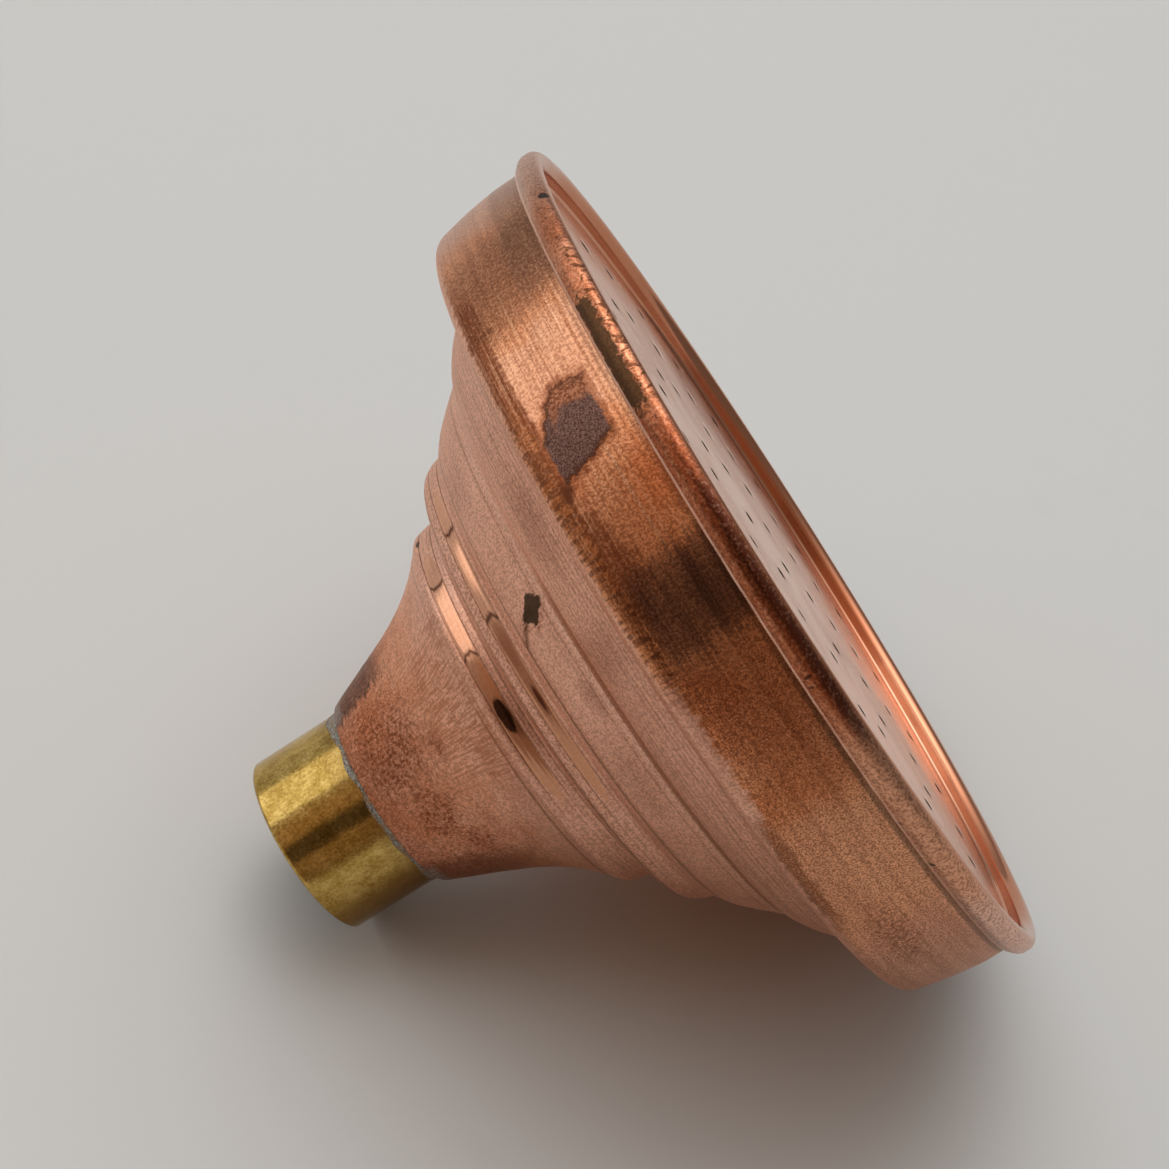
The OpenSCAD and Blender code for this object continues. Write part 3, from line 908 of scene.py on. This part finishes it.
def roll_wear_and_reflection(s):
    """Tones of the roll's outer side, with a painted reflection of whoever holds the camera."""
    worn = s.mix(s.ramp(s.mottle, 0.36, 0.64), rgb(0.54, 0.17, 0.07), rgb(0.68, 0.27, 0.14))
    worn = s.tint(worn, rgb(0.35, 0.085, 0.028), s.band(s.turn, -18.0, 23.0, 5.0), 0.66)
    # Painted reflection of whoever holds the camera: a very dark patch on the roll from -22 to 13 degrees.
    camera_reflection = s.mul(s.band(s.pushed(s.angle, s.ragged, 10.0), -22.0, 13.0, 3.0),
                s.band(s.pushed(s.along, s.ragged, 0.8), 4.95, 6.25, 0.3))
    worn = s.tint(worn, rgb(0.075, 0.016, 0.009), camera_reflection, 0.9)
    worn = s.tint(worn, rgb(0.78, 0.40, 0.24), s.band(s.turn, -52.0, -20.0, 5.0), 0.7)
    worn = s.tint(worn, rgb(0.86, 0.54, 0.43), s.ramp(s.turn, -44.0, -54.0), s.in_front, 0.8)
    return s.tint(worn, rgb(0.62, 0.40, 0.31), s.ramp(s.turn, 52.0, 66.0), s.in_front, 0.6)


def roll_marks(s):
    """Speckle, rub marks, the olive-brown patch, nicks and the bright raw edge of the roll."""
    along, outside = s.along, s.outside
    s.paint(GRAIN_DARK, s.ramp(s.grain, 0.56, 0.36), s.add(0.08, s.mul(outside, 0.46)))
    s.paint(GRAIN_LIGHT, s.ramp(s.grain, 0.50, 0.68), outside, 0.20)
    s.paint(rgb(0.09, 0.03, 0.02), s.ramp(s.specks, 0.47, 0.37), outside, 0.4)
    rub_zone = s.mul(s.band(along, 4.3, 6.2, 0.3), s.band(s.angle, 22.0, 48.0, 2.0))
    s.paint(rgb(0.10, 0.03, 0.012), s.ramp(s.comb, 0.48, 0.42), rub_zone, 0.85)
    s.olive = s.mul(s.band(s.pushed(s.angle, s.ragged, 7.0), 22.0, 38.4, 0.6),
                    s.band(s.pushed(s.pushed(along, s.comb, 2.4), s.ragged, 0.8), 6.0, RAW_EDGE, 0.2))
    olive_tone = s.mix(s.grain, rgb(0.030, 0.015, 0.008), rgb(0.125, 0.066, 0.030))
    s.paint(olive_tone, s.olive, 0.94)
    for *spot, strength in ROLL_NICKS:
        s.paint(rgb(0.03, 0.015, 0.012), s.blot(*spot, 0.6, 0.2), strength)
    s.paint(rgb(0.90, 0.60, 0.46), s.ramp(along, RAW_EDGE - 0.1, RAW_EDGE + 0.1), 0.75)


def face_tarnish_and_hole_shade(s):
    """Inside the roll: clouds, dried drops, rubbed lines, darker rings by the wall and the holes, and
    painted shade in the holes.
    """
    s.clouds = s.mul(s.ramp(s.noise(s.pos, 0.055, 4.0, 0.6, 0.6), 0.42, 0.66), s.inside)
    s.paint(rgb(0.56, 0.27, 0.165), s.clouds, 0.42)
    from_drop = s.pushed(s.cells(s.pos, 0.11), s.ragged, 0.30)
    drops = s.mul(s.ridge(s.sub(from_drop, 0.34), 0.035), s.ramp(s.mottle, 0.46, 0.56))
    s.paint(rgb(0.50, 0.235, 0.15), drops, s.inside, 0.20)
    across = s.vec(s.mul(s.add(s.x, s.y), 0.12), s.mul(s.sub(s.x, s.y), 2.6), 0.0)
    s.rubbed = s.noise(across, 1.0, 3.0, 0.6)
    s.paint(rgb(0.52, 0.25, 0.16), s.ramp(s.rubbed, 0.54, 0.64), s.inside, 0.22)
    s.paint(rgb(0.36, 0.16, 0.09), s.ramp(s.pushed(s.to_hole, s.ragged, 1.4), 2.1, 1.0), 0.30)
    by_wall = s.ramp(s.pushed(s.radius, s.ragged, 2.0), 54.6, 56.2)
    s.paint(rgb(0.50, 0.20, 0.10), by_wall, s.inside, 0.35)
    s.paint(rgb(0.53, 0.18, 0.082), s.ramp(s.along, 0.2, 0.8), s.inside, 0.68)
    # Painted shade in the holes: their walls and very edges near black.
    in_hole = s.ramp(s.pushed(s.to_hole, s.ragged, 0.25), 1.08, 0.95)
    s.paint(rgb(0.05, 0.028, 0.02), in_hole, 0.92)


def face_copper():
    s = Shader(bpy.data.materials.new("copper_polished"))
    s.measure()
    s.grain = s.noise(s.pos, 2.9, 2.0, 0.6)
    s.specks = s.noise(s.pos, 1.7, 4.0, 0.65)
    fine = s.noise(s.pos, 4.0, 3.0, 0.6)
    s.mottle = s.noise(s.pos, 0.16, 4.0, 0.6)
    s.ragged = s.noise(s.pos, 0.75, 5.0, 0.72)
    s.comb = s.noise(s.unrolled(0.9, 0.55), 1.0, 3.0, 0.6, 0.6)
    streak = s.noise(s.around(s.add(s.z, s.radius), 5.0, 3.0), 1.0, 3.0, 0.6)
    s.turn = s.pushed(s.angle, s.mottle, 12.0)
    s.in_front = s.front()
    s.to_hole = s.attribute("hole_near")
    s.outside = s.ramp(s.pushed(s.along, s.ragged, 0.5), 4.1, 4.9)
    s.inside = s.sub(1.0, s.outside)

    clean = s.mix(s.mottle, rgb(0.86, 0.46, 0.30), rgb(0.94, 0.57, 0.42))
    s.color = s.mix(s.outside, clean, roll_wear_and_reflection(s))
    roll_marks(s)
    s.paint(rgb(0.93, 0.68, 0.58), s.ramp(s.radius, DISC_R + 0.3, DISC_R - 1.5), 0.45)
    face_tarnish_and_hole_shade(s)

    flat_face = s.ramp(s.radius, DISC_R + 0.3, DISC_R - 0.5)
    smooth_rough = s.add(0.09, s.mul(flat_face, 0.08), s.mul(fine, 0.06))
    rough = s.blend(s.outside, smooth_rough, s.add(0.22, s.mul(s.grain, 0.14)))
    rough = s.add(rough, s.mul(s.olive, 0.15), s.mul(s.clouds, 0.08))
    height = s.add(s.mul(fine, 0.08), s.mul(s.rubbed, 0.10), s.mul(s.grain, s.outside),
                   s.mul(s.specks, s.outside, 0.8), s.mul(streak, s.add(0.10, s.mul(s.outside, 0.4))))
    return s.metal(rough, s.bump(height, 0.024 * MM, 0.7), rgb(1.0, 0.93, 0.88))


def socket_brass():
    s = Shader(bpy.data.materials.new("brass_satin"))
    s.measure()
    grain = s.noise(s.pos, 2.6, 3.0, 0.6)
    lengthwise = s.noise(s.vec(s.mul(s.angle, 0.55), s.mul(s.z, 0.35), 0.0), 1.0, 4.0, 0.65)
    mottle = s.noise(s.pos, 0.35, 4.0, 0.65)
    s.color = s.mix(s.ramp(mottle, 0.34, 0.66), rgb(0.43, 0.265, 0.056), rgb(0.655, 0.445, 0.135))
    s.paint(rgb(0.34, 0.19, 0.035), s.ramp(lengthwise, 0.48, 0.66), 0.5)
    s.paint(rgb(0.16, 0.085, 0.015), s.ramp(grain, 0.52, 0.34), 0.40)
    s.paint(rgb(0.85, 0.68, 0.30), s.ramp(grain, 0.54, 0.70), 0.30)
    s.paint(rgb(0.24, 0.14, 0.05), s.ramp(s.pushed(s.z, mottle, 5.0), 66.4, 63.0), 0.35)
    s.paint(rgb(0.30, 0.18, 0.05), s.ramp(s.radius, SOCKET_R - 0.4, BORE_R + 0.4), 0.5)
    # Painted reflection of the shade beneath: the brass darker on its lower side, from about -45 to -140
    # degrees.
    s.paint(rgb(0.20, 0.095, 0.022), s.ramp(s.angle, -36.0, -54.0), s.ramp(s.angle, -150.0, -130.0), 0.72)
    rough = s.add(0.09, s.mul(grain, 0.14))
    height = s.add(grain, s.mul(lengthwise, 0.5))
    return s.metal(rough, s.bump(height, 0.014 * MM, 0.7), rgb(1.0, 0.95, 0.85))


def solder_grey():
    s = Shader(bpy.data.materials.new("solder_grey"))
    s.measure()
    grain = s.noise(s.pos, 3.2, 4.0, 0.7)
    lump = s.noise(s.pos, 0.9, 3.0, 0.6)
    s.color = s.mix(s.ramp(grain, 0.35, 0.65), rgb(0.11, 0.095, 0.075), rgb(0.44, 0.42, 0.375))
    s.paint(rgb(0.34, 0.20, 0.10), s.ramp(lump, 0.46, 0.60), 0.75)
    rough = s.add(0.38, s.mul(grain, 0.25))
    return s.metal(rough, s.bump(s.add(grain, lump), 0.09 * MM, 0.9), rgb(1.0, 1.0, 1.0), metallic=0.9)


body.data.materials.append(body_copper())
polished = face_copper()
rim.data.materials.append(polished)
disc.data.materials.append(polished)
socket.data.materials.append(socket_brass())
solder.data.materials.append(solder_grey())

# -------------------- camera, in the part's frame

VIEW_RIGHT = Vector((-0.53539, 0.11535, -0.83664))
VIEW_DOWN = Vector((-0.84456, -0.07312, 0.53037))
VIEW_AHEAD = Vector((0.0, 0.99054, 0.13658))
CAMERA_AT = Vector((9.52, -349.3, -22.45)) * MM
LENS, SENSOR = 83.15, 36.0
cam_data = bpy.data.cameras.new("camera")
cam_data.lens, cam_data.sensor_width = LENS, SENSOR
cam_data.clip_start = 0.01
cam = link("camera", cam_data)
turned = Matrix((VIEW_RIGHT, -VIEW_DOWN, -VIEW_AHEAD)).transposed()
cam.matrix_world = Matrix.Translation(CAMERA_AT) @ turned.to_4x4()
bpy.context.scene.camera = cam

# -------------------- the floor it lies on
# The part lies on its side: the socket's end and the drum's shoulder touch the floor.

LYING_ANGLE = math.radians(-141.5)
lean = Vector((math.sin(LYING_ANGLE), -math.cos(LYING_ANGLE), 0.0))
tip = np.array([SOCKET_R, SOCKET_TOP])
slope = np.degrees(np.arctan2(outer_fine[:, 0] - tip[0], tip[1] - outer_fine[:, 1]))
slope[outer_fine[:, 1] > 30] = -90
shoulder = outer_fine[slope.argmax()]
tilt = math.radians(slope.max())
floor_up = -math.cos(tilt) * lean - math.sin(tilt) * Vector((0, 0, 1))
floor_at = (lean * (shoulder[0] + 0.12) + Vector((0, 0, shoulder[1]))) * MM
floor_x = (VIEW_RIGHT - VIEW_RIGHT.dot(floor_up) * floor_up).normalized()
floor_y = floor_up.cross(floor_x)
FLOOR_HALF = 1.6


def rectangle(name, at, across, up):
    """A flat object with these half sides, as part of the stage."""
    mesh = bpy.data.meshes.new(name)
    corners = [at + x * across + y * up for x, y in ((-1, -1), (1, -1), (1, 1), (-1, 1))]
    mesh.from_pydata([tuple(v) for v in corners], [], [(0, 1, 2, 3)])
    o = link(name, mesh)
    return o


# A warm, darker tone is painted on the floor beneath the bell, as painted shadow and painted bounce light
# from the copper.
painted_glow_at = floor_at + 0.020 * Vector((0, 0, 1))
painted_glow_at -= (painted_glow_at - floor_at).dot(floor_up) * floor_up


def floor_paint():
    """Pale and faintly cloudy, with a painted warm shadow beneath the bell, and clear from below so that the
    face can be looked at.
    """
    s = Shader(bpy.data.materials.new("floor_pale"))
    pos = s.place()
    smudge = s.ramp(s.noise(pos, 0.035, 4.0, 0.6), 0.62, 0.78)
    tone = s.tint(rgb(0.568, 0.588, 0.582), rgb(0.40, 0.40, 0.39), smudge, 0.10)
    away = s.vector_value("DISTANCE", pos, painted_glow_at / MM)
    # Painted shadow and bounce light: a warm, darker tone within about 43 mm of the point beneath the bell.
    tone = s.tint(tone, rgb(0.52, 0.375, 0.29), s.ramp(away, 43.0, 14.0), 0.85)
    matt = s.node("ShaderNodeBsdfPrincipled", {"Base Color": tone, "Roughness": 0.6})
    clear = s.node("ShaderNodeBsdfTransparent")
    back = s.node("ShaderNodeNewGeometry").outputs["Backfacing"]
    return s.show(s.node("ShaderNodeMixShader", (back, matt.outputs[0], clear.outputs[0])))


floor = rectangle("floor", floor_at, floor_x * FLOOR_HALF, floor_y * FLOOR_HALF)
floor.data.materials.append(floor_paint())

# -------------------- light
# E1 lies across the axis in the picture, E2 points to the camera, AXIS out of the face.

E1, E2, AXIS = Vector((1, 0, 0)), Vector((0, -1, 0)), Vector((0, 0, -1))
view_up = (-VIEW_DOWN - (-VIEW_DOWN).dot(floor_up) * floor_up).normalized()
view_right = view_up.cross(floor_up)


def over_floor(elevation, azimuth):
    """Direction by its elevation above the floor and its azimuth, 0 up the picture and 90 to the right."""
    e, a = math.radians(elevation), math.radians(azimuth)
    return (view_up * math.cos(a) + view_right * math.sin(a)) * math.cos(e) + floor_up * math.sin(e)


# Each lobe of the sky: (direction, power, strength). A higher power makes it narrower.
AMBIENT = 0.20
SKY_LOBES = [(over_floor(64, 8), 7.0, 2.80), (over_floor(25, -50), 1.5, 0.32), (E2, 2.0, 0.10)]
SEEN_BEYOND = rgb(0.58, 0.57, 0.545)

world = bpy.data.worlds.new("world")
bpy.context.scene.world = world
w = Shader(world, "ShaderNodeOutputWorld")
looking = w.node("ShaderNodeTexCoord").outputs["Generated"]
glow = AMBIENT
for toward, power, strength in SKY_LOBES:
    facing = w.vector_value("DOT_PRODUCT", looking, toward)
    glow = w.add(w.mul(w.math("POWER", w.most(facing, 0.0), power), strength), glow)
behind = w.vector_value("DOT_PRODUCT", looking, E2)
room_color = w.mix(w.ramp(behind, 0.45, 0.95), rgb(0.99, 0.99, 1.0), rgb(1.0, 0.66, 0.45))
room = w.node("ShaderNodeBackground", (room_color, glow))
beyond = w.node("ShaderNodeBackground", (SEEN_BEYOND, 1.0))
seen = w.node("ShaderNodeLightPath").outputs["Is Camera Ray"]
w.show(w.node("ShaderNodeMixShader", (seen, room.outputs[0], beyond.outputs[0])))

centre = Vector((0, 0, 30.0)) * MM


def card(name, at, across, up, emission, color):
    """A flat card with half sides across and up, seen only in light and reflections."""
    o = rectangle(name, at, across, up)
    c = Shader(bpy.data.materials.new(name))
    if emission:
        surface = c.node("ShaderNodeEmission", (color, emission))
    else:
        surface = c.node("ShaderNodeBsdfDiffuse", (color,))
    o.data.materials.append(c.show(surface))
    o.visible_camera = False
    o.visible_shadow = False
    return o


# The window, and a thin dark frame round it.
WINDOW_TURN, WINDOW_FAR, WINDOW_GLOW = math.radians(67.5), 1.2, 1.30
window_to = (math.sin(WINDOW_TURN) * E1 + math.cos(WINDOW_TURN) * E2 - 0.10 * AXIS).normalized()
window_side = (math.cos(WINDOW_TURN) * E1 - math.sin(WINDOW_TURN) * E2).normalized()
window_high = window_to.cross(window_side)
WINDOW_W, WINDOW_H, FRAME = 0.50, 0.74, 0.035
card("window", centre + window_to * WINDOW_FAR, window_side * WINDOW_W, window_high * WINDOW_H,
     WINDOW_GLOW, rgb(1.0, 0.985, 0.96))
frame_card = card("window_frame", centre + window_to * (WINDOW_FAR + 0.01), window_side * (WINDOW_W + FRAME),
                  window_high * (WINDOW_H + FRAME), 0.0, rgb(0.02, 0.02, 0.02))
frame_card.visible_diffuse = False

# Whoever holds the camera shows as a dark shape in the polished places.
dark_card = card("dark_card", CAMERA_AT - VIEW_AHEAD * 0.01 - AXIS * 0.115, E1 * 0.070, AXIS * 0.125, 0.075,
                 rgb(1.0, 0.70, 0.50))
dark_card.visible_diffuse = False
bpy.context.scene.view_settings.view_transform = "Standard"
